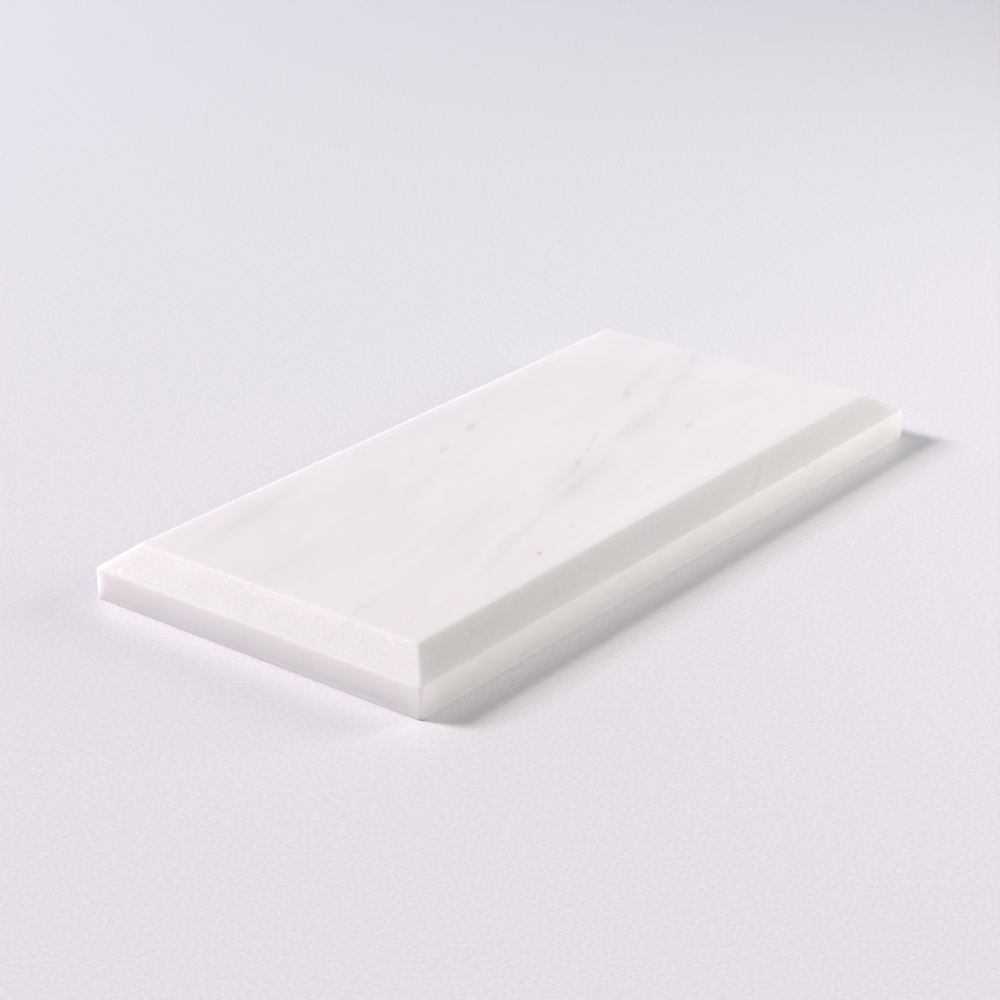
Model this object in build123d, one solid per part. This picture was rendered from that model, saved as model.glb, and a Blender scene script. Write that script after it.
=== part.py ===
"""Beveled subway tile, sawn from white marble: one flat piece with a bevel ground round its face.

Frame: X runs along the long sides, Y along the short ends, Z up from the sawn back.
The origin is the middle of the back. All sizes are in millimetres.
"""

import os

from build123d import *

# Overall sizes of the tile
tile_length = 150.0
tile_width = 75.0
tile_thickness = 10.0

# The bevel: it starts this high on the edge, and comes in this far over the face
edge_height = 5.8
side_bevel_run = 5.6
end_bevel_run = 6.0

# Radii of the eased arrises
corner_ease = 0.45  # the four upright corners
back_ease = 0.3  # round the sawn back
foot_ease = 0.6  # where the bevel leaves the square edge
border_ease = 0.8  # where the bevel meets the polished face

bevel_drop = tile_thickness - edge_height


def stone_section(half_span, bevel_run):
    """Half of the tile's section, from its middle out: flat face, bevel and square edge.

    Both arrises of the bevel are rounded by an arc that runs smoothly into its two flats.
    """
    with BuildSketch() as section:
        with BuildLine():
            Polyline(
                (0, 0),
                (half_span, 0),
                (half_span, edge_height),
                (half_span - bevel_run, tile_thickness),
                (0, tile_thickness),
                close=True,
            )
        make_face()
        bevel_foot = section.vertices().group_by(Axis.Y)[1]
        fillet(bevel_foot, foot_ease)
        face_border = section.vertices().group_by(Axis.Y)[-1].sort_by(Axis.X)[-1]
        fillet(face_border, border_ease)
    return section.sketch


def bevel_waste(half_span, bevel_run):
    """Section of what the cutter takes off one side: a block over the bevel, less the stone that stays.

    The block reaches past both arcs of the stone, and past its edge and face by the bevel's drop.
    """
    inner = half_span - bevel_run - border_ease
    lower = edge_height - foot_ease
    with BuildSketch() as waste:
        with Locations((inner, lower)):
            Rectangle(
                half_span + bevel_drop - inner,
                tile_thickness + bevel_drop - lower,
                align=(Align.MIN, Align.MIN),
            )
        add(stone_section(half_span, bevel_run), mode=Mode.SUBTRACT)
    return waste.sketch


def marble_tile():
    """The whole tile: an eased slab, with a bevel cut along both long sides and across both short ends.

    Each cut runs right through, past its neighbours, so the four bevels meet in mitres at the corners.
    """
    with BuildPart() as tile:
        Box(
            tile_length,
            tile_width,
            tile_thickness,
            align=(Align.CENTER, Align.CENTER, Align.MIN),
        )
        fillet(tile.edges().filter_by(Axis.Z), corner_ease)
        fillet(tile.edges().group_by(Axis.Z)[0], back_ease)

        # Long sides: the section lies across the tile and is carried along its length
        with BuildSketch(Plane.YZ):
            add(bevel_waste(tile_width / 2, side_bevel_run))
            mirror(about=Plane.YZ)
        extrude(amount=tile_length, both=True, mode=Mode.SUBTRACT)

        # Short ends: the section lies along the tile and is carried across its width
        with BuildSketch(Plane.XZ):
            add(bevel_waste(tile_length / 2, end_bevel_run))
            mirror(about=Plane.YZ)
        extrude(amount=tile_width, both=True, mode=Mode.SUBTRACT)
    return tile.part


os.makedirs("parts", exist_ok=True)
export_step(marble_tile(), "parts/tile.step")
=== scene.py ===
import math

import bpy
import numpy as np
from mathutils import Matrix, Vector


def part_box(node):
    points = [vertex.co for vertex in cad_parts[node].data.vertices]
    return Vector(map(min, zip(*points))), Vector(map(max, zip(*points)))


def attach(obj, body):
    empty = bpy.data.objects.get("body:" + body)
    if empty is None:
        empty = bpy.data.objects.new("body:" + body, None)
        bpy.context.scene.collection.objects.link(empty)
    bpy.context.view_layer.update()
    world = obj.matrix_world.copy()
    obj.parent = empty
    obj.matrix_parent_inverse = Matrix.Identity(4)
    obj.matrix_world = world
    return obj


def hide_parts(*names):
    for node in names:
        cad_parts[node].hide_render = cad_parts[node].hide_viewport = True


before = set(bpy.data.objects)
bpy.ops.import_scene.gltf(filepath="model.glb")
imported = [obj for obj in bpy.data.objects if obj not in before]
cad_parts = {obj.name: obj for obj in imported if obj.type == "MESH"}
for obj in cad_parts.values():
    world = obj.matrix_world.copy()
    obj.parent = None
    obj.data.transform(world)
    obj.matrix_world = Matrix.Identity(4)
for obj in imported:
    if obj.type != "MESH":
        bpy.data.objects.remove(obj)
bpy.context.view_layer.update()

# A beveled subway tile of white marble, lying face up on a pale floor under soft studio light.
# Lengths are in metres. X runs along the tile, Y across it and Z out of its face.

MM = 0.001
SEED = 75150

# The tile's outer sizes, from the frame
TILE_LOW, TILE_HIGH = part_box("tile")
LENGTH = TILE_HIGH.x - TILE_LOW.x
WIDTH = TILE_HIGH.y - TILE_LOW.y
THICKNESS = TILE_HIGH.z - TILE_LOW.z

# The bevels and the arrises, which are rounded by these radii
EDGE_HEIGHT = 5.8 * MM
SIDE_BEVEL_RUN = 5.6 * MM
END_BEVEL_RUN = 6.0 * MM
CORNER_EASE = 0.45 * MM
BACK_EASE = 0.07 * MM
FOOT_EASE = 0.6 * MM
BORDER_EASE = 0.8 * MM
MITRE_EASE = 0.3 * MM

# Steps of the surface's grid: round the outline, round each arris, and up the flats of the section
LONG_SIDE_STEPS = 460
SHORT_END_STEPS = 230
CORNER_STEPS = 6
ARRIS_STEPS = 6
EDGE_STEPS = 9
BEVEL_STEPS = 12
GUARD = 0.06 * MM  # a narrow strip beside each arc, so that the flats are shaded flat
FLAT_SHARES = (0.002, 0.02, 0.2, 0.6, 1.0)  # rings of the face and the back, as shares of the way in
WELD = 1e-7  # points that are nearer than this are one

# Wear and nicks of the arrises
WEAR_DEPTH = 0.03 * MM
WEAR_CYCLES = (9, 23, 41, 77, 130, 210)  # waves on one turn round the outline
RANDOM_NICKS = {"back": 46, "foot": 26, "border": 16}
NICK_RADII = (0.2, 0.55)  # in millimetres, of the random nicks
NICK_DEPTHS = (0.08, 0.22)  # as shares of their radii
NICKS = (
    # arris, place in plan, radius and depth
    ("foot", -75 * MM, -37.5 * MM, 0.55 * MM, 0.22 * MM),
    ("back", -75 * MM, -37.5 * MM, 0.6 * MM, 0.2 * MM),
    ("foot", 40 * MM, -37.5 * MM, 0.7 * MM, 0.16 * MM),
)


# Shape of the tile


def outline_columns():
    """Columns round the outline: a place (u, v) on the square from -1 to 1, and its outward direction.

    Along a side, u or v runs from one corner to the next and the direction (nx, ny) is square to the side.
    Round a corner, u and v stay and the direction turns through a right angle.
    """
    turn = np.linspace(0, np.pi / 2, CORNER_STEPS + 1)[1:-1]
    u, v, angle = [], [], []
    for quarter in range(4):
        start = quarter * np.pi / 2
        steps = LONG_SIDE_STEPS if quarter % 2 else SHORT_END_STEPS
        run = np.linspace(-1, 1, steps + 1)
        facing, sideways = (math.cos(start), math.sin(start)), (-math.sin(start), math.cos(start))
        side_u, side_v = (np.round(facing[i] + sideways[i] * run, 12) for i in (0, 1))
        u += [side_u, turn * 0 + side_u[-1]]
        v += [side_v, turn * 0 + side_v[-1]]
        angle += [side_u * 0 + start, start + turn]
    u, v, angle = map(np.concatenate, (u, v, angle))
    return u, v, np.cos(angle), np.sin(angle)


def eased_corner(corner, before, after, radius):
    """Arc round a corner of the section, from heading before to heading after, turning to the right.

    It starts radius tan(turn / 2) before the corner. After turning by s, its point lies radius sin(s)
    along the first heading from there, and radius (1 - cos(s)) to the right of it.
    """
    s = np.linspace(0, before - after, ARRIS_STEPS + 1)[:, None]
    ahead = np.array((math.cos(before), math.sin(before)))
    right = np.array((math.sin(before), -math.cos(before)))
    reach = radius * math.tan((before - after) / 2)
    return np.array(corner) + ahead * (radius * np.sin(s) - reach) + right * radius * (1 - np.cos(s))


def flat_between(first, last, steps):
    """Even points on the straight from one arc's end to the next arc's start, a guard in at both ends."""
    guard = GUARD / np.linalg.norm(last - first)
    return first + (last - first) * np.linspace(guard, 1 - guard, steps)[:, None]


def section(run):
    """Rows of inset and height from the back up the edge and over a bevel to the face, as arcs and flats."""
    up, outward = math.pi / 2, math.pi
    climbing = math.atan2(THICKNESS - EDGE_HEIGHT, run)
    back = eased_corner((0, 0), outward, up, BACK_EASE)
    foot = eased_corner((0, EDGE_HEIGHT), up, climbing, FOOT_EASE)
    border = eased_corner((run, THICKNESS), climbing, 0, BORDER_EASE)
    edge = flat_between(back[-1], foot[0], EDGE_STEPS)
    bevel = flat_between(foot[-1], border[0], BEVEL_STEPS)
    return np.concatenate((back, edge, foot, bevel, border))


def smooth(low, high, value):
    """0 below low, 1 above high, and 3 t^2 - 2 t^3 between."""
    t = np.clip((value - low) / (high - low), 0, 1)
    return t * t * (3 - 2 * t)


def tile_grid():
    """The tile's edges and bevels as a grid: a row for each ring, and a column for each place on the outline.

    A ring of half lengths a and b and corner radius r has its points at ((a - r) u + r nx, (b - r) v + r ny).
    Its insets and heights come from the section of the ends and that of the sides. Round a corner the height
    passes from one to the other by the square of ny, so that the bevels meet in an eased mitre. The radius is
    the corner's on the edges, less the inset of the back's arc, and passes to the mitre's on the bevels.
    """
    u, v, nx, ny = outline_columns()
    end, side = section(END_BEVEL_RUN), section(SIDE_BEVEL_RUN)
    climb = smooth(EDGE_HEIGHT - FOOT_EASE, EDGE_HEIGHT + FOOT_EASE, side[:, 1])
    corner = CORNER_EASE + (MITRE_EASE - CORNER_EASE) * climb - np.where(climb > 0, 0, side[:, 0])
    a = (LENGTH / 2 - end[:, 0])[:, None]
    b = (WIDTH / 2 - side[:, 0])[:, None]
    r = corner[:, None]
    x = (a - r) * u + r * nx
    y = (b - r) * v + r * ny
    z = end[:, 1:] * nx**2 + side[:, 1:] * ny**2
    return np.stack((x, y, z), axis=-1)


def outward_normals(grid):
    """Unit normals of a grid of points: the cross product of its steps along the rows and up the columns."""
    along = np.roll(grid, -1, axis=1) - np.roll(grid, 1, axis=1)
    upward = np.gradient(grid, axis=0)
    normal = np.cross(along, upward)
    return normal / np.linalg.norm(normal, axis=-1, keepdims=True)


def arris_rows():
    """Each arris's middle row, and how near each row is to one: 1 in an arc's middle, 0 past its ends."""
    half = ARRIS_STEPS // 2
    foot = ARRIS_STEPS + 1 + EDGE_STEPS + half
    border = foot + ARRIS_STEPS + 1 + BEVEL_STEPS
    middles = {"back": half, "foot": foot, "border": border}
    count = border + half + 1
    rows = np.arange(count)
    nearness = sum(np.clip(1 - np.abs(rows - row) / (half + 0.5), 0, 1) for row in middles.values())
    return middles, nearness


def worn_skin(grid):
    """The grid with its arrises worn and nicked, and how deep the nicks are at each point, from 0 to 1.

    Wear is a sum of sine waves along the outline, at most WEAR_DEPTH deep. It fades from each arris to the
    flats. A nick of radius r and depth d takes back d (1 - (distance / r)^2)^2 round its middle.
    """
    rng = np.random.default_rng(SEED)
    normal = outward_normals(grid)
    middles, nearness = arris_rows()
    outline = grid[middles["foot"]]
    steps = np.linalg.norm(np.diff(outline, axis=0, append=outline[:1]), axis=-1)
    place = (np.cumsum(steps) - steps)[None, :] / steps.sum()
    waves = np.zeros_like(place)
    for cycles in WEAR_CYCLES:
        waves += np.sin(2 * np.pi * (cycles * place + rng.random()))
    wear = WEAR_DEPTH * (0.5 + 0.5 * waves / len(WEAR_CYCLES)) * nearness[:, None]

    nicks = []
    for arris, x, y, radius, depth in NICKS:
        nicks.append((grid[middles[arris], column_at(grid, x, y)], radius, depth))
    for arris, count in RANDOM_NICKS.items():
        for column in rng.integers(0, grid.shape[1], count):
            radius = rng.uniform(*NICK_RADII) * MM
            nicks.append((grid[middles[arris], column], radius, radius * rng.uniform(*NICK_DEPTHS)))
    taken = np.zeros(grid.shape[:2])
    for middle, radius, depth in nicks:
        near = np.clip(1 - ((grid - middle) ** 2).sum(-1) / radius**2, 0, 1)
        taken = np.maximum(taken, depth * near**2)
    return grid - normal * (wear + taken)[..., None], taken / taken.max()


def column_at(grid, x, y):
    """The column of the outline that is nearest to a place in plan."""
    return int(np.argmin(np.hypot(grid[0, :, 0] - x, grid[0, :, 1] - y)))


def closed_with_flats(grid, fresh):
    """The grid with rings added for the back and the face, which shrink to the tile's middle line.

    A point that is a share s of the way in lies at (1 - s) p + s m, where m is the nearest point to p of
    the middle line, which is as long as the tile's length is more than its width. The last ring closes it.
    """
    reach = (LENGTH - WIDTH) / 2

    def rings(rim, level):
        rim = rim * (1, 1, 0) + (0, 0, level)
        middle = np.stack((np.clip(rim[:, 0], -reach, reach), rim[:, 1] * 0, rim[:, 2]), axis=-1)
        return [rim * (1 - share) + middle * share for share in FLAT_SHARES]

    back = rings(grid[0], 0.0)[::-1]
    face = rings(grid[-1], THICKNESS)
    none = np.zeros((len(FLAT_SHARES), grid.shape[1]))
    return np.concatenate((back, grid, face)), np.concatenate((none, fresh, none))


def grid_mesh(name, grid, fresh):
    """A closed mesh from a grid whose columns go all the way round. Points that fall together are welded."""
    rows, columns = grid.shape[:2]
    index = np.arange(rows * columns).reshape(rows, columns)
    beside = np.roll(index, -1, axis=1)
    quads = np.stack((index[:-1], beside[:-1], beside[1:], index[1:]), axis=-1).reshape(-1, 4)

    points = grid.reshape(-1, 3)
    _, first, weld = np.unique(np.round(points / WELD), axis=0, return_index=True, return_inverse=True)
    quads = weld.reshape(-1)[quads]
    same = quads == np.roll(quads, -1, axis=1)
    whole = quads[same.sum(1) == 0]
    folded = same.sum(1) == 1
    triangles = quads[folded][~same[folded]].reshape(-1, 3)

    mesh = bpy.data.meshes.new(name)
    mesh.from_pydata(points[first].tolist(), [], whole.tolist() + triangles.tolist())
    mesh.polygons.foreach_set("use_smooth", np.ones(len(mesh.polygons), bool))
    layer = mesh.attributes.new("nick", "FLOAT", "POINT")
    layer.data.foreach_set("value", fresh.reshape(-1)[first].astype(np.float32))
    mesh.validate()
    mesh.update()
    piece = bpy.data.objects.new(name, mesh)
    bpy.context.scene.collection.objects.link(piece)
    return piece


# Shader maths


class Value:
    """A socket of a shader graph. Arithmetic on it, with numbers or other values, adds Math nodes."""

    def __init__(self, graph, socket):
        self.graph = graph
        self.socket = socket

    def math(self, operation, *others):
        return self.graph.node("ShaderNodeMath", {"operation": operation}, (self, *others))

    def __add__(self, other):
        return self.math("ADD", other)

    def __sub__(self, other):
        return self.math("SUBTRACT", other)

    def __mul__(self, other):
        return self.math("MULTIPLY", other)

    def __rsub__(self, other):
        return self.graph.node("ShaderNodeMath", {"operation": "SUBTRACT"}, (other, self))

    __radd__ = __add__
    __rmul__ = __mul__


class Graph:
    """A material's nodes, all from the one method node."""

    def __init__(self, name):
        self.material = bpy.data.materials.new(name)
        self.material.use_nodes = True
        self.tree = self.material.node_tree
        self.tree.nodes.clear()

    def node(self, kind, settings=None, inputs=(), output=0):
        """Adds a node of that type, sets its settings and its sockets, and gives one of its outputs."""
        made = self.tree.nodes.new(kind)
        for key, value in (settings or {}).items():
            setattr(made, key, value)
        named = inputs.items() if isinstance(inputs, dict) else enumerate(inputs)
        for key, value in named:
            if isinstance(value, Value):
                self.tree.links.new(value.socket, made.inputs[key])
            else:
                made.inputs[key].default_value = value
        return Value(self, made.outputs[output]) if len(made.outputs) else made

    def step(self, low, high, value):
        """0 at low and beyond it, 1 at high and beyond it, and smooth between, whichever of them is more."""
        settings = {"interpolation_type": "SMOOTHSTEP"}
        return self.node("ShaderNodeMapRange", settings, {0: value, 1: low, 2: high, 3: 0.0, 4: 1.0})

    def noise(self, place, scale, detail, roughness, output=0):
        """Noise from 0 to 1, or as a colour from output 1, with that many grains to a unit of the place."""
        inputs = {"Vector": place, "Scale": scale, "Detail": detail, "Roughness": roughness}
        return self.node("ShaderNodeTexNoise", None, inputs, output)

    def mix(self, share, first, second):
        """A colour between two colours."""
        settings = {"data_type": "RGBA", "clamp_factor": True}
        first, second = (c if isinstance(c, Value) else (*c, 1) for c in (first, second))
        return self.node("ShaderNodeMix", settings, {0: share, 6: first, 7: second}, output=2)

    def vector(self, operation, *inputs, output=0):
        return self.node("ShaderNodeVectorMath", {"operation": operation}, inputs, output)

    def scaled(self, vector, factor):
        return self.node("ShaderNodeVectorMath", {"operation": "SCALE"}, {0: vector, 3: factor})

    def parts(self, vector):
        """The vector's X, Y and Z."""
        split = self.node("ShaderNodeSeparateXYZ", None, (vector,)).socket.node
        return [Value(self, socket) for socket in split.outputs]

    def surface(self, shader):
        """The material, with that shader on its surface."""
        self.node("ShaderNodeOutputMaterial", None, {"Surface": shader})
        return self.material


# Marble


def lens(g, plan, start, end, half_width):
    """A streak between two places in plan: 1 on its middle line, and 0 on the ellipse round both places."""
    (x0, y0), (x1, y1) = start, end
    half_length = max(math.hypot(x1 - x0, y1 - y0) / 2, half_width)
    turn = (0, 0, math.atan2(y1 - y0, x1 - x0))
    middle = ((x0 + x1) / 2, (y0 + y1) / 2, 0)
    inputs = {"Vector": plan, "Location": middle, "Rotation": turn, "Scale": (half_length, half_width, 1)}
    local = g.node("ShaderNodeMapping", {"vector_type": "TEXTURE"}, inputs)
    return g.step(1.0, 0.0, g.vector("LENGTH", local, output=1))


def streaks(g, plan, rows):
    """The greatest of several streaks, each times its own strength."""
    greatest, *others = [lens(g, plan, start, end, width) * strength for start, end, width, strength in rows]
    for mask in others:
        greatest = greatest.math("MAXIMUM", mask)
    return greatest


def bedded(g, place, length, height):
    """The place in the stone along its bedding, in units of a grain's length and height."""
    inputs = {"Vector": place, "Rotation": BEDDING, "Scale": (length, height, height)}
    return g.node("ShaderNodeMapping", {"vector_type": "TEXTURE"}, inputs)


def drift(g, place, grain, texture, reach):
    """A mask of noise along the bedding, from grains that long and high. It begins and is full at reach."""
    return g.step(*reach, g.noise(bedded(g, place, *grain), 1, *texture))


def centred(g, noise_colour):
    """A colour of noise as a vector with its parts from -0.5 to 0.5."""
    return g.vector("SUBTRACT", noise_colour, (0.5, 0.5, 0.5))


def vein_plan(g, mm, z):
    """Where a point's vein shows on the face: its veins lean, and two sizes of noise make them wander."""
    lean = g.node("ShaderNodeCombineXYZ", None, {"Y": (z - THICKNESS / MM) * VEIN_LEAN})
    broad = g.scaled(centred(g, g.noise(mm, *BROAD_NOISE, output=1)), VEIN_WANDER)
    fine = g.scaled(centred(g, g.noise(mm, *FINE_NOISE, output=1)), VEIN_FRAY)
    moved = g.vector("ADD", g.vector("ADD", mm, lean), g.vector("ADD", broad, fine))
    return g.vector("MULTIPLY", moved, (1, 1, 0))


def stone_colour(g, mm, z):
    """The marble's colour: clouds and flow lines along the bedding, tan bands, faint veins and dark flecks,
    with a painted glow along the long edges.
    """
    plan = vein_plan(g, mm, z)
    broken = drift(g, mm, *BREAKS) * (1 - VEIN_REST) + VEIN_REST

    colour = g.mix(drift(g, mm, *CLOUDS), STONE_GREY, STONE_PALE)
    colour = g.mix(drift(g, g.vector("ADD", mm, HAZE_PLACE), *HAZE) * HAZE_SHARE, colour, STONE_WARM)
    colour = g.mix(drift(g, mm, *FLOW) * FLOW_SHARE, colour, BAND_GREY)
    # Painted glow: paler bands along the long edges, where light scattered in the stone comes out
    colour = g.mix(streaks(g, plan, EDGE_GLOW_BANDS), colour, STONE_WHITE_AND_GLOW)
    colour = g.mix(streaks(g, plan, TAN_BANDS), colour, BAND_TAN)
    colour = g.mix(streaks(g, plan, GREY_VEINS) * broken, colour, VEIN_GREY)
    colour = g.mix(streaks(g, plan, BROWN_VEINS) * broken, colour, VEIN_BROWN)
    colour = g.mix(streaks(g, plan, TAN_FLECKS), colour, FLECK_TAN)
    return g.mix(streaks(g, plan, DARK_FLECKS), colour, FLECK_DARK)


def marble():
    """White marble: honed smooth on its face, with the sugary grain of its crystals where it was ground.

    Light scatters deep in the stone. The lowest millimetre of the edge is plain instead, because light that
    scatters there would leave through the back and turn the foot dark.
    """
    g = Graph("white_marble")
    mm = g.scaled(g.node("ShaderNodeTexCoord", output=3), 1 / MM)
    z = g.parts(mm)[2]
    ground = 1 - g.step(*FACE_LEVELS, z)
    on_back = g.step(*BACK_LEVELS, z)
    on_edge = g.step(*EDGE_LEVELS, z)
    bevel = ground * g.step(*BEVEL_LEVELS, z)
    nick = g.node("ShaderNodeAttribute", {"attribute_name": "nick"}, output=2)

    cells = {"Vector": mm, "Scale": 1 / CRYSTAL}
    crystal = centred(g, g.node("ShaderNodeTexVoronoi", None, cells, output=1))
    tone, glint, _ = g.parts(crystal)
    # The sawn edges are paler; the white also paints in light glowing out of the stone's edges
    colour = g.mix(on_edge * EDGE_WHITE_AND_GLOW, stone_colour(g, mm, z), STONE_WHITE_AND_GLOW)
    # Painted shade: the bevels are mixed a little towards a cool grey to darken them
    colour = g.mix(bevel * BEVEL_SHADE_SHARE, colour, BEVEL_PAINTED_SHADE)
    colour = g.mix(g.step(-0.5, 0.5, tone) * (bevel * BEVEL_SPECKLE + FACE_SPECKLE), colour, CRYSTAL_DARK_AND_FOOT_SHADE)
    # Painted glints: a few crystals of the bevels are lighter, standing in for light glancing off them
    colour = g.mix(g.step(*PAINTED_GLINT_LEVELS, glint) * bevel * PAINTED_GLINT_SHARE, colour, FRESH_STONE_AND_GLINT)
    colour = g.mix(nick * NICK_FRESH, colour, FRESH_STONE_AND_GLINT)
    # Painted shade: a thin warm dark line in patches along the foot, where the tile meets the paper
    shade_patches = g.step(*FOOT_SHADE_PATCHES, g.noise(mm, *FOOT_SHADE_NOISE)) * (1 - FOOT_SHADE_REST) + FOOT_SHADE_REST
    colour = g.mix(g.step(*FOOT_SHADE_LEVELS, z) * shade_patches * FOOT_SHADE_SHARE, colour, FOOT_PAINTED_SHADE)

    tilt = g.scaled(crystal, ground * (CRYSTAL_TILT * (1 - on_edge * EDGE_FLATTER)) + FACE_TILT)
    normal = g.vector("NORMALIZE", g.vector("ADD", g.node("ShaderNodeNewGeometry", output=1), tilt))
    sugar = g.noise(mm, *SUGAR_NOISE) * (ground * (1 - on_edge * EDGE_SMOOTHER))
    saw = g.noise(g.vector("MULTIPLY", mm, SAW_GRAIN), *SAW_NOISE) * on_back * SAW_HEIGHT
    height = sugar + saw + g.noise(mm, *HONE_NOISE) * HONE_HEIGHT
    bump = {"Strength": 1.0, "Distance": RELIEF, "Height": height, "Normal": normal}

    rough = ground * (1 - on_edge) * (CUT_ROUGHNESS - FACE_ROUGHNESS) + FACE_ROUGHNESS
    rough = rough + on_back * BACK_ROUGHER + (g.noise(mm, *ROUGH_NOISE) - 0.5) * ROUGH_SPREAD
    rough = rough - g.step(*SHINE_LEVELS, glint) * bevel * SHINE_SHARE
    shader = {
        "Base Color": colour,
        "Roughness": rough + nick * NICK_ROUGHER,
        "IOR": MARBLE_IOR,
        "Subsurface Weight": 1.0,
        "Subsurface Radius": SCATTER_RADII,
        "Subsurface Scale": SCATTER_SCALE,
        "Normal": g.node("ShaderNodeBump", None, bump),
    }
    deep = g.node("ShaderNodeBsdfPrincipled", {"subsurface_method": "RANDOM_WALK"}, shader)
    shader["Subsurface Weight"] = 0.0
    # Painted shade: the plain foot's colour is a little darker, in place of the shade that scattering would
    # give it
    shader["Base Color"] = g.mix(PLAIN_PAINTED_SHADE, colour, CRYSTAL_DARK_AND_FOOT_SHADE)
    plain = g.node("ShaderNodeBsdfPrincipled", None, shader)
    return g.surface(g.node("ShaderNodeMixShader", None, (g.step(*PLAIN_LEVELS, z), deep, plain)))


# Heights in millimetres between which one finish passes into the next, and where the painted shade along the
# foot fades
FACE_LEVELS = (THICKNESS / MM - 0.25, THICKNESS / MM - 0.02)
BEVEL_LEVELS = (EDGE_HEIGHT / MM - 0.05, EDGE_HEIGHT / MM + 0.35)
EDGE_LEVELS = (EDGE_HEIGHT / MM - 0.2, EDGE_HEIGHT / MM - 0.7)
PLAIN_LEVELS = (1.3, 0.3)
FOOT_SHADE_LEVELS = (0.5, 0.15)
BACK_LEVELS = (0.04, 0.0)

# The stone, in millimetres. Its bedding runs about 15 degrees off X.
BEDDING = (math.radians(38), 0, math.radians(15))
VEIN_LEAN = 0.77  # how far a vein shifts along Y for each millimetre of height
VEIN_WANDER = 2.6
VEIN_FRAY = 1.1
VEIN_REST = 0.4  # how much of a vein is left where it breaks

# Masks along the bedding: length and height of the grains, detail and roughness of the noise, and its reach
CLOUDS = ((34, 11), (3, 0.5), (0.33, 0.67))
HAZE = ((60, 24), (2, 0.5), (0.45, 0.7))
FLOW = ((17, 1.3), (4, 0.62), (0.5, 0.78))
BREAKS = ((5, 1.1), (3, 0.65), (0.28, 0.62))
HAZE_PLACE = (40, -25, 9)  # reads the haze elsewhere in the noise, so that it doesn't follow the clouds
HAZE_SHARE = 0.6
FLOW_SHARE = 0.32

# Noise: grains to a millimetre, detail and roughness
BROAD_NOISE = (0.11, 2, 0.5)
FINE_NOISE = (0.9, 3, 0.6)
FOOT_SHADE_NOISE = (0.25, 3, 0.6)
SUGAR_NOISE = (3.0, 2, 0.6)
HONE_NOISE = (0.16, 1, 0.5)
ROUGH_NOISE = (0.3, 3, 0.6)
SAW_NOISE = (1, 3, 0.6)
SAW_GRAIN = (1.1, 0.02, 1)

# Crystals, which show where the stone was ground, and what grinding, sawing and nicks do to the colour, with
# painted glints and painted shade on the bevels, painted glow on the edges and painted shade on the plain
# foot
CRYSTAL = 0.25  # size of a crystal, in millimetres
CRYSTAL_TILT = 0.08  # how far a crystal turns the ground surface out of true
FACE_TILT = 0.004  # and the honed face
EDGE_FLATTER = 0.5
PAINTED_GLINT_LEVELS = (0.38, 0.5)
PAINTED_GLINT_SHARE = 0.35
BEVEL_SPECKLE = 0.07
FACE_SPECKLE = 0.03
BEVEL_SHADE_SHARE = 0.15
EDGE_WHITE_AND_GLOW = 0.45
NICK_FRESH = 0.6
PLAIN_PAINTED_SHADE = 0.05

# Painted shade: a thin warm dark line in patches along the foot, where the tile meets the paper
FOOT_SHADE_PATCHES = (0.35, 0.65)
FOOT_SHADE_REST = 0.5
FOOT_SHADE_SHARE = 0.4

# Relief, as height times RELIEF
RELIEF = 0.012 * MM
EDGE_SMOOTHER = 0.6
SAW_HEIGHT = 2.0
HONE_HEIGHT = 1.5

# Gloss, and how far light scatters in the stone
FACE_ROUGHNESS = 0.34
CUT_ROUGHNESS = 0.8
BACK_ROUGHER = 0.15
NICK_ROUGHER = 0.2
ROUGH_SPREAD = 0.1
SHINE_LEVELS = (0.42, 0.5)
SHINE_SHARE = 0.4
MARBLE_IOR = 1.58
SCATTER_RADII = (1.0, 0.88, 0.78)
SCATTER_SCALE = 4.2 * MM

# Colours of the stone, from its ground to its flecks, and of the painted shade along its foot
STONE_PALE = (0.890, 0.872, 0.866)
STONE_GREY = (0.860, 0.843, 0.845)
STONE_WARM = (0.875, 0.852, 0.836)
# White of the stone, used for the painted glow along the long edges and for the paler edges
STONE_WHITE_AND_GLOW = (0.925, 0.912, 0.908)
# Fresh stone in the nicks, also used for the painted glints on the bevels
FRESH_STONE_AND_GLINT = (0.97, 0.96, 0.955)
BEVEL_PAINTED_SHADE = (0.49, 0.56, 0.60)
CRYSTAL_DARK_AND_FOOT_SHADE = (0.60, 0.57, 0.56)
BAND_GREY = (0.80, 0.775, 0.78)
BAND_TAN = (0.765, 0.738, 0.70)
VEIN_GREY = (0.66, 0.63, 0.645)
VEIN_BROWN = (0.60, 0.545, 0.52)
FLECK_TAN = (0.67, 0.56, 0.43)
FLECK_DARK = (0.40, 0.35, 0.34)
FOOT_PAINTED_SHADE = (0.74, 0.60, 0.55)

# Bands, veins and flecks in plan: where each begins and ends, its half width and its strength
# Pale bands along the long edges: painted glow of light scattered in the stone, not a colour of the stone
EDGE_GLOW_BANDS = (
    ((-44, -30), (66, -27), 5.0, 0.45),
    ((-60, 33.5), (74, 32.5), 4.2, 0.55),
    ((30, 22), (74, 30), 9.0, 0.25),
)
TAN_BANDS = (
    ((-20, -17.5), (20, -9.5), 4.6, 0.42),
    ((-14, -13), (14, -5.5), 2.8, 0.36),
    ((-52, -26.5), (-4, -12.2), 2.2, 0.38),
    ((-46, -14.6), (-13, -4.6), 1.8, 0.16),
    ((-72, 3), (-46, 9), 4.0, 0.16),
    ((-72, 20.5), (-26, 28.5), 3.8, 0.4),
    ((-33, 10), (-12, 23), 1.8, 0.1),
    ((12, -31), (48, -24), 2.4, 0.14),
    ((46, -15), (64, -12), 3.0, 0.16),
    ((-32, 24.5), (62, 29), 4.2, 0.13),
)
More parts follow.
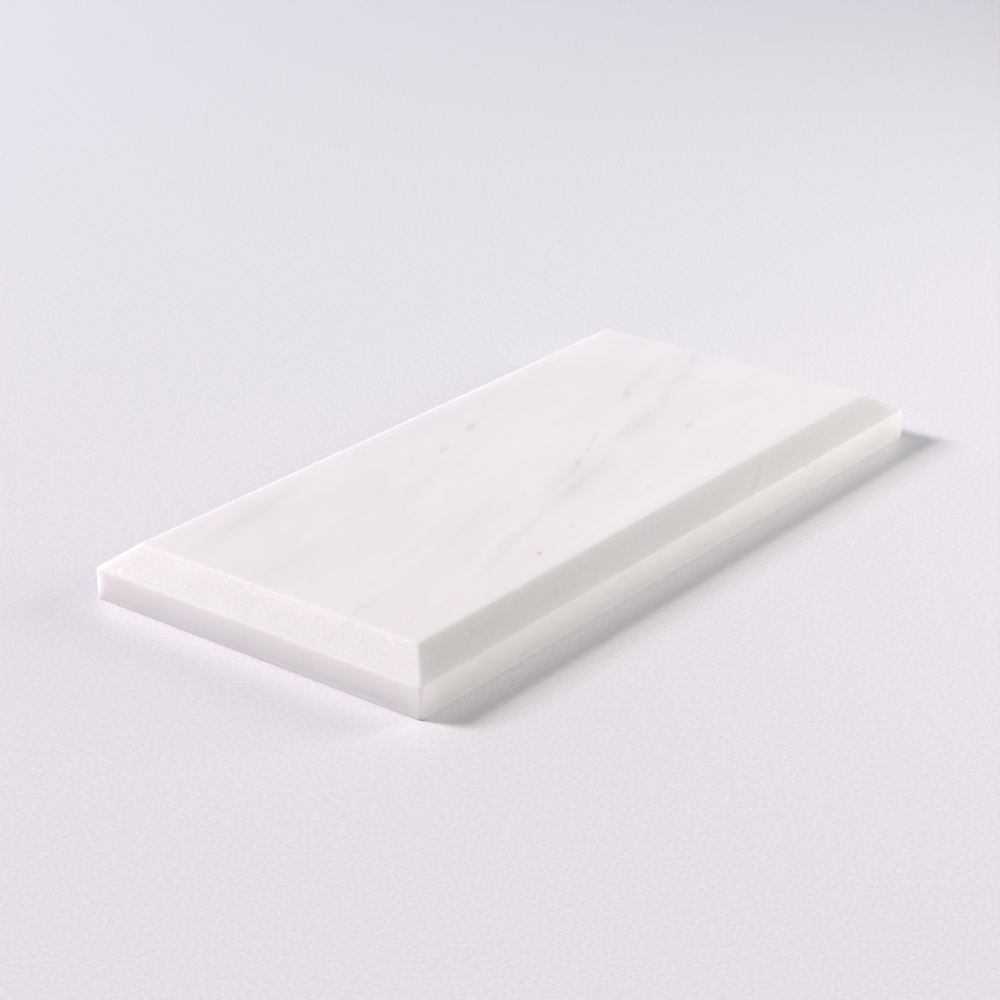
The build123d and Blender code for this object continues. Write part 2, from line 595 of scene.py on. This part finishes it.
GREY_VEINS = (
    ((13, -9), (46, -1.5), 3.8, 0.32),
    ((38, -3), (50, 1.5), 1.3, 0.3),
    ((46, 0.8), (59, 4.4), 1.6, 0.38),
    ((54, 3.2), (74, 9.4), 1.5, 0.34),
    ((35, 3.8), (46, 8.2), 1.0, 0.32),
    ((41, 6.5), (64, 13), 2.5, 0.2),
    ((-76, -18.8), (-55, -14.2), 0.7, 0.3),
    ((-41, -21), (-20, -16), 0.8, 0.14),
    ((-19.5, 1.8), (-12.5, 3.6), 0.6, 0.14),
    ((0, 18.6), (18, 28), 0.8, 0.08),
)
BROWN_VEINS = (
    ((-11, -15.4), (6, -11.6), 1.3, 0.18),
    ((-3, -11), (10, -6.4), 0.9, 0.2),
    ((8, -6.6), (24, -0.6), 0.8, 0.2),
    ((17, -28.5), (32, -24.5), 0.9, 0.08),
    ((15, -43), (33, -32), 1.3, 0.2),
    ((36, -46), (47, -38), 1.2, 0.22),
)
TAN_FLECKS = (
    ((-7.0, 15.0), (-3.0, 17.2), 0.9, 0.1),
    ((7.0, 19.0), (12.6, 21.6), 1.0, 0.16),
    ((-31.4, -27.0), (-28.6, -25.8), 0.8, 0.68),
    ((38.0, 4.4), (42.4, 6.4), 1.1, 0.24),
    ((31.8, -14.9), (35.2, -13.9), 0.7, 0.1),
)
DARK_FLECKS = (
    ((-12.5, 18.3), (-10.5, 18.9), 0.8, 0.14),
    ((-5.8, 16.4), (-1.2, 18.0), 1.3, 0.2),
    ((5.1, 18.1), (9.9, 19.9), 1.2, 0.2),
    ((11.3, -5.6), (13.7, -4.6), 0.9, 0.2),
    ((4.3, -8.3), (8.7, -6.9), 1.0, 0.2),
    ((35.9, 4.6), (38.9, 5.6), 0.9, 0.13),
    ((39.5, 5.9), (42.3, 6.9), 0.7, 0.1),
    ((31.4, -14.7), (36.6, -12.9), 0.8, 0.24),
    ((-30.4, -26.5), (-29.1, -26.0), 0.4, 0.4),
    ((-18.2, -25.1), (-16.8, -24.5), 0.5, 0.24),
    ((-33.3, -20.1), (-31.7, -19.5), 0.5, 0.14),
    ((5.4, -20.2), (7.0, -19.6), 0.5, 0.1),
    ((37.6, -41.2), (41.4, -40.2), 0.6, 0.35),
)


# Studio


def floor_paper():
    """Pale, slightly blue paper with a fine tooth."""
    g = Graph("pale_floor")
    mm = g.scaled(g.node("ShaderNodeTexCoord", output=3), 1 / MM)
    tooth = {"Strength": 0.5, "Distance": FLOOR_TOOTH, "Height": g.noise(mm, *TOOTH_NOISE)}
    fibre = g.noise(g.vector("ADD", mm, FIBRE_PLACE), *FIBRE_NOISE)
    shader = {
        "Base Color": g.mix(g.step(*FIBRE_LEVELS, fibre), FLOOR_COLOUR, FLOOR_FIBRE),
        "Roughness": FLOOR_ROUGHNESS,
        "Normal": g.node("ShaderNodeBump", None, tooth),
    }
    return g.surface(g.node("ShaderNodeBsdfPrincipled", None, shader))


def studio_floor():
    half = FLOOR_SIZE / 2
    mesh = bpy.data.meshes.new("floor")
    level = -FLOOR_GAP
    corners = [(-half, -half, level), (half, -half, level), (half, half, level), (-half, half, level)]
    mesh.from_pydata(corners, [], [(0, 1, 2, 3)])
    floor = bpy.data.objects.new("floor", mesh)
    bpy.context.scene.collection.objects.link(floor)
    floor.data.materials.append(floor_paper())


def toward(azimuth, elevation):
    """Unit vector that points that way from the tile, with azimuth from +X towards +Y.

    It is (cos e cos a, cos e sin a, sin e) for azimuth a and elevation e.
    """
    azimuth, elevation = math.radians(azimuth), math.radians(elevation)
    level = math.cos(elevation)
    return Vector((level * math.cos(azimuth), level * math.sin(azimuth), math.sin(elevation)))


def soft_light(name, azimuth, elevation, distance, size, power, colour):
    """A soft box of that width and height at that distance, turned to the tile."""
    light = bpy.data.lights.new(name, "AREA")
    light.shape = "RECTANGLE"
    light.size, light.size_y = size
    light.energy = power
    light.color = colour
    lamp = bpy.data.objects.new(name, light)
    bpy.context.scene.collection.objects.link(lamp)
    direction = toward(azimuth, elevation)
    lamp.location = direction * distance
    lamp.rotation_euler = direction.to_track_quat("Z", "Y").to_euler()
    lamp.visible_camera = False
    lamp.visible_glossy = not name.endswith("card")  # the small cards stand so close that they would glare


def studio_lights():
    for name, setup in LIGHTS.items():
        soft_light(name, *setup)
    world = bpy.data.worlds.new("studio")
    world.use_nodes = True
    background = world.node_tree.nodes["Background"]
    background.inputs["Color"].default_value = (*WORLD_COLOUR, 1)
    background.inputs["Strength"].default_value = WORLD_STRENGTH
    scene = bpy.context.scene
    scene.world = world
    scene.view_settings.view_transform = "Standard"
    scene.view_settings.look = "None"


def studio_camera():
    """The camera, at the photograph's place and angle over a frame of 1000 by 1000 pixels."""
    camera = bpy.data.cameras.new("camera")
    camera.sensor_width = SENSOR
    camera.lens = SENSOR * FOCAL_PIXELS / FRAME_PIXELS
    camera.clip_start, camera.clip_end = CAMERA_CLIP
    viewer = bpy.data.objects.new("camera", camera)
    bpy.context.scene.collection.objects.link(viewer)
    turn = Matrix.Rotation(math.radians(CAMERA_ROLL), 3, "Z")
    aim = (Vector(CAMERA_AIM) - Vector(CAMERA_PLACE)).to_track_quat("-Z", "Y").to_matrix()
    viewer.matrix_world = Matrix.Translation(CAMERA_PLACE) @ (aim @ turn).to_4x4()
    bpy.context.scene.camera = viewer


FLOOR_SIZE = 12.0
FLOOR_GAP = 0.02 * MM  # a hair's breadth, so that light that leaves the tile's back comes back off the paper
FLOOR_COLOUR = (0.855, 0.845, 0.875)
FLOOR_FIBRE = (0.735, 0.725, 0.755)
FLOOR_ROUGHNESS = 0.4
FLOOR_TOOTH = 0.1 * MM
TOOTH_NOISE = (0.9, 4, 0.65)
FIBRE_NOISE = (1.4, 4, 0.7)
FIBRE_PLACE = (7, 3, 0)
FIBRE_LEVELS = (0.25, 0.75)
WORLD_COLOUR = (0.9, 0.95, 1.0)
WORLD_STRENGTH = 0.015
LIGHTS = {
    # azimuth, elevation, distance, size across and high, power, colour
    "window": (113.6, 34.0, 2.2, (0.69, 0.66), 51.8, (1.06, 1.0, 1.03)),
    "sky": (0.0, 90.0, 1.6, (1.6, 1.6), 1.6, (1.0, 1.0, 1.25)),
    "room": (270.0, 45.0, 1.5, (1.1, 1.0), 7.0, (1.05, 1.0, 0.93)),
    "front card": (298.0, 13.0, 0.36, (0.2, 0.2), 0.16, (1.1, 1.0, 0.83)),
    "side card": (323.1, 20.5, 0.54, (0.2, 0.2), 1.19, (0.99, 1.0, 1.02)),
    "far wall": (45.0, 12.0, 1.5, (1.1, 0.6), 1.0, (0.8, 1.0, 1.12)),
    "back wall": (90.0, 12.0, 1.5, (1.1, 0.6), 4.5, (1.03, 1.0, 1.3)),
}
SENSOR = 36.0
FRAME_PIXELS = 1000
FOCAL_PIXELS = 2551.2
CAMERA_PLACE = (-0.34676, -0.27338, 0.19672)
CAMERA_AIM = (0.00146, 0.0075, 0.0)
CAMERA_ROLL = -0.741
CAMERA_CLIP = (0.01, 100)


# The piece and the studio

grid, fresh = worn_skin(tile_grid())
tile = grid_mesh("marble_tile", *closed_with_flats(grid, fresh))
tile.data.materials.append(marble())
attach(tile, "root")
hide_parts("tile")

studio_floor()
studio_lights()
studio_camera()
